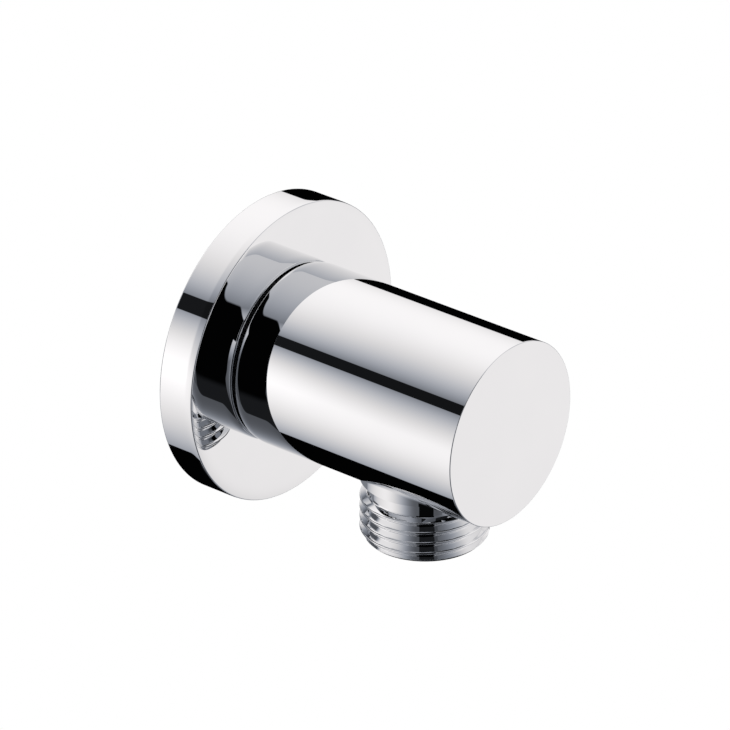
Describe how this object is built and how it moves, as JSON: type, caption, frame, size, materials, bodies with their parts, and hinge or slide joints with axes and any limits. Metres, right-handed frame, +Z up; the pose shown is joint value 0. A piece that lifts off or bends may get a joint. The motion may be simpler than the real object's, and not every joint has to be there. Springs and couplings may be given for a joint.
{
  "type": "wall outlet elbow",
  "caption": "Round wall outlet elbow for a shower hose: flat flange, cylindrical body, threaded outlet pointing down, threaded inlet behind and a sprung non-return valve inside.",
  "frame": {"origin": "centre of the wall plane, on the axis of the inlet thread", "axes": "+Y along the inlet thread into the wall, -Y out into the room, +Z up, so the hose outlet points along -Z"},
  "size_m": [0.0502, 0.0606, 0.0502],
  "materials": {
    "polished_chrome": "mirror-polished chrome plate on brass",
    "seal_rubber": "black moulded rubber",
    "valve_plastic": "natural white acetal",
    "poppet_plastic": "blue acetal",
    "spring_steel": "drawn stainless wire"
  },
  "bodies": {
    "outlet_elbow": {"elbow_body": "polished_chrome", "wall_flange": "polished_chrome", "flange_o_ring": "seal_rubber", "valve_sleeve": "valve_plastic", "valve_o_ring": "seal_rubber", "valve_cage": "valve_plastic", "valve_spring": "spring_steel"},
    "check_poppet": {"valve_poppet": "poppet_plastic", "poppet_seal": "seal_rubber"}
  },
  "joints": [
    {"name": "poppet_slide", "type": "slide", "parent": "outlet_elbow", "child": "check_poppet", "axis": [0, 0, -1], "range_m": [0, 0.003], "stiffness_N_per_m": 80, "springref_m": -0.003, "deforming": ["valve_spring"]}
  ]
}
